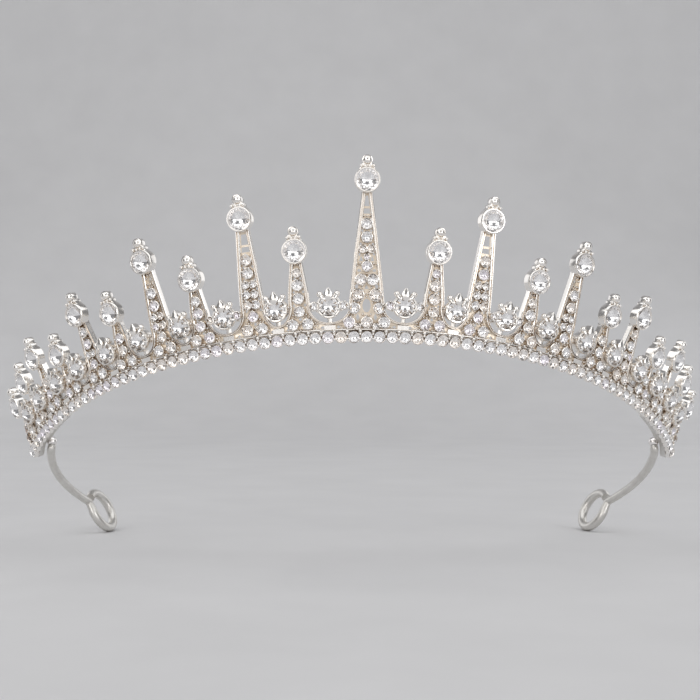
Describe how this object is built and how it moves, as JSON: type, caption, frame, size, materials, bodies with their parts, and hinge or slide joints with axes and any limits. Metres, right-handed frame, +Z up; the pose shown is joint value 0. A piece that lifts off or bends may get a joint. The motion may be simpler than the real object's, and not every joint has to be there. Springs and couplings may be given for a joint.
{
  "type": "bridal tiara",
  "caption": "Open-backed tiara of cast spires and scallops set with round stones over a stone-set rail, with two sprung wire arms ending in hairpin loops.",
  "frame": {"origin": "centre of the head circle, in the plane of the lower front edge", "axes": "+Z up and -Y to the front, with the front raised as the tiara is worn, and +X to the right as seen from the front"},
  "size_m": [0.1502, 0.0769, 0.0788],
  "materials": {
    "cast_silver": "polished silver plate",
    "rail_silver": "satin silver plate",
    "wire_silver": "drawn wire, silver plate",
    "solder_silver": "bright solder",
    "foiled_crystal": "faceted, foil behind",
    "row_crystal": "faceted, foil behind"
  },
  "bodies": {
    "frame": {"centre_panel": "cast_silver", "left_inner_panel": "cast_silver", "left_middle_panel": "cast_silver", "left_outer_panel": "cast_silver", "right_inner_panel": "cast_silver", "right_middle_panel": "cast_silver", "right_outer_panel": "cast_silver", "finial_stone_centre": "foiled_crystal", "finial_stone_left_01": "foiled_crystal", "finial_stone_left_02": "foiled_crystal", "finial_stone_left_03": "foiled_crystal", "finial_stone_left_04": "foiled_crystal", "finial_stone_left_05": "foiled_crystal", "finial_stone_left_06": "foiled_crystal", "finial_stone_left_07": "foiled_crystal", "finial_stone_left_08": "foiled_crystal", "finial_stone_left_09": "foiled_crystal", "finial_stone_left_10": "foiled_crystal", "finial_stone_right_01": "foiled_crystal", "finial_stone_right_02": "foiled_crystal", "finial_stone_right_03": "foiled_crystal", "finial_stone_right_04": "foiled_crystal", "finial_stone_right_05": "foiled_crystal", "finial_stone_right_06": "foiled_crystal", "finial_stone_right_07": "foiled_crystal", "finial_stone_right_08": "foiled_crystal", "finial_stone_right_09": "foiled_crystal", "finial_stone_right_10": "foiled_crystal", "scallop_stone_left_01": "foiled_crystal", "scallop_stone_left_02": "foiled_crystal", "scallop_stone_left_03": "foiled_crystal", "scallop_stone_left_04": "foiled_crystal", "scallop_stone_left_05": "foiled_crystal", "scallop_stone_left_06": "foiled_crystal", "scallop_stone_left_07": "foiled_crystal", "scallop_stone_left_08": "foiled_crystal", "scallop_stone_left_09": "foiled_crystal", "scallop_stone_left_10": "foiled_crystal", "scallop_stone_right_01": "foiled_crystal", "scallop_stone_right_02": "foiled_crystal", "scallop_stone_right_03": "foiled_crystal", "scallop_stone_right_04": "foiled_crystal", "scallop_stone_right_05": "foiled_crystal", "scallop_stone_right_06": "foiled_crystal", "scallop_stone_right_07": "foiled_crystal", "scallop_stone_right_08": "foiled_crystal", "scallop_stone_right_09": "foiled_crystal", "scallop_stone_right_10": "foiled_crystal", "lower_rail": "rail_silver", "bottom_stone_row": "row_crystal", "left_arm_bead": "solder_silver", "right_arm_bead": "solder_silver", "left_arm_root": "wire_silver", "right_arm_root": "wire_silver"},
    "left_arm": {"left_arm": "wire_silver"},
    "right_arm": {"right_arm": "wire_silver"}
  },
  "joints": [
    {"name": "left_arm_spring", "type": "hinge", "parent": "frame", "child": "left_arm", "pos_m": [-0.06516, -0.0218, 0.01208], "axis": [0, 0.4848, 0.8746], "range_deg": [-6, 6], "stiffness_Nm_per_rad": 0.05},
    {"name": "right_arm_spring", "type": "hinge", "parent": "frame", "child": "right_arm", "pos_m": [0.06516, -0.0218, 0.01208], "axis": [0, -0.4848, -0.8746], "range_deg": [-6, 6], "stiffness_Nm_per_rad": 0.05}
  ]
}
